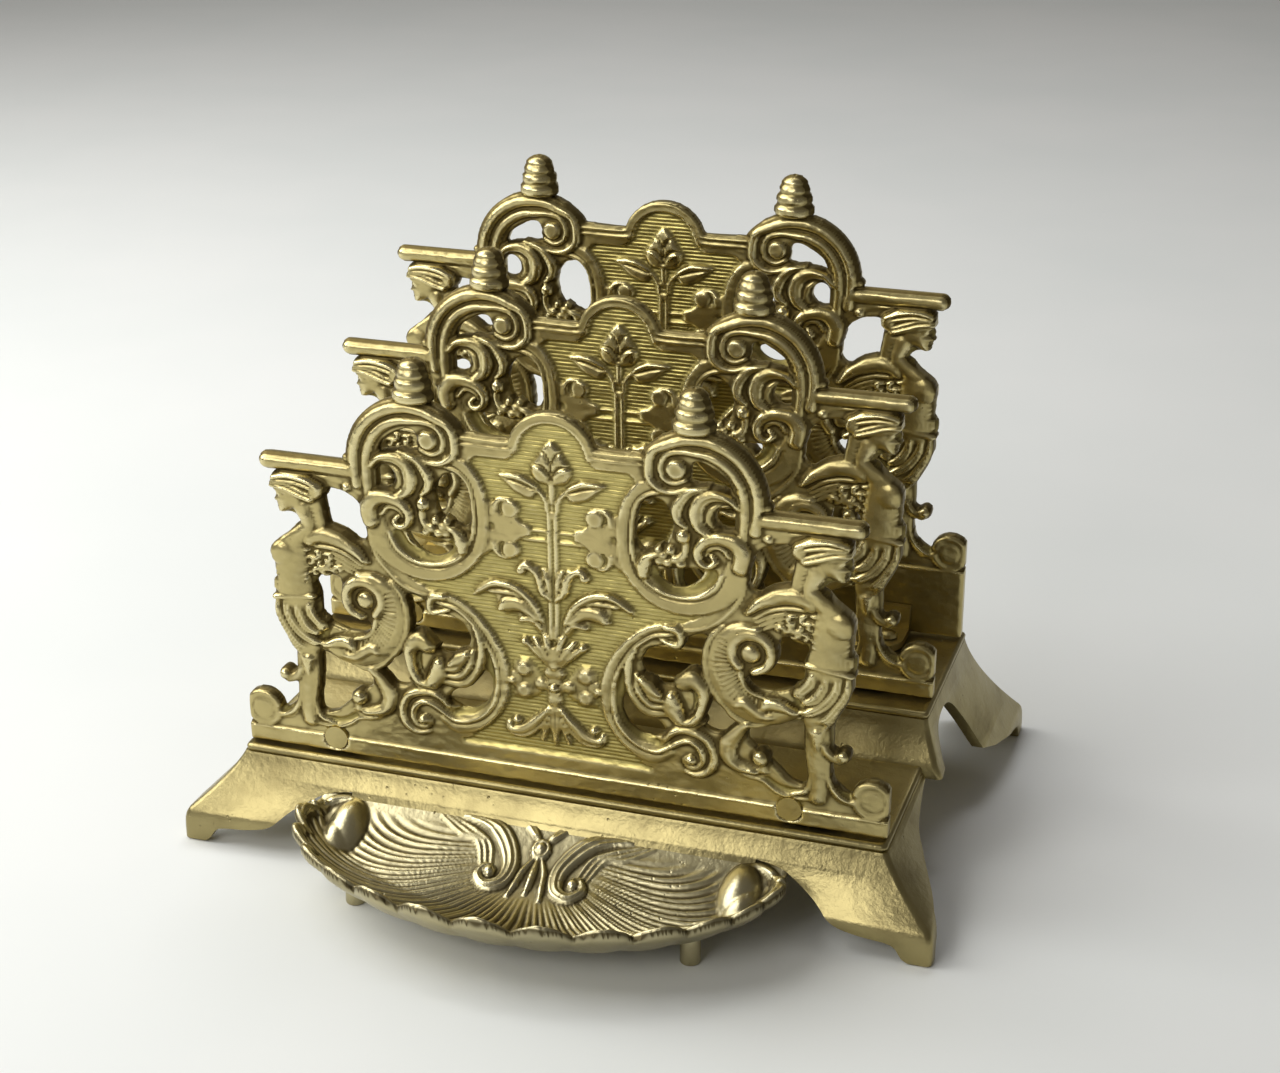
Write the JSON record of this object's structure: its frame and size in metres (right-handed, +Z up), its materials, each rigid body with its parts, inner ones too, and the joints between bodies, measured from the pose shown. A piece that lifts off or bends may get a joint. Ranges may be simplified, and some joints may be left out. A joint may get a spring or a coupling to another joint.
{
  "type": "letter rack",
  "caption": "Cast brass desk letter rack: pierced scroll panels on a stepped base with splayed feet, and a scallop-shell tray for pen nibs and stamps in front.",
  "frame": {"origin": "on the ground under the middle of the rack's bounding box", "axes": "+X to the right along the panels, +Y to the back, +Z up; the shell tray faces -Y"},
  "size_m": [0.17, 0.1454, 0.1393],
  "materials": {
    "base_brass": "aged cast brass, softly polished, brown in the hollows",
    "panel_brass": "aged cast brass with fine casting grain, worn bright on the raised ornament",
    "tray_brass": "aged cast brass, brown patina in the flutes and a bright worn lip",
    "fastener_brass": "turned brass, dulled"
  },
  "bodies": {
    "root": {"base_casting": "base_brass", "shell_tray": "tray_brass", "tray_peg_left": "tray_brass", "tray_peg_right": "tray_brass", "front_panel": "panel_brass", "front_lug_left": "panel_brass", "front_rivet_left": "fastener_brass", "front_screw_left": "fastener_brass", "front_lug_right": "panel_brass", "front_rivet_right": "fastener_brass", "front_screw_right": "fastener_brass", "middle_panel": "panel_brass", "middle_lug_left": "panel_brass", "middle_rivet_left": "fastener_brass", "middle_screw_left": "fastener_brass", "middle_lug_right": "panel_brass", "middle_rivet_right": "fastener_brass", "middle_screw_right": "fastener_brass", "rear_panel": "panel_brass", "rear_lug_left": "panel_brass", "rear_rivet_left": "fastener_brass", "rear_screw_left": "fastener_brass", "rear_lug_right": "panel_brass", "rear_rivet_right": "fastener_brass", "rear_screw_right": "fastener_brass"}
  },
  "joints": []
}
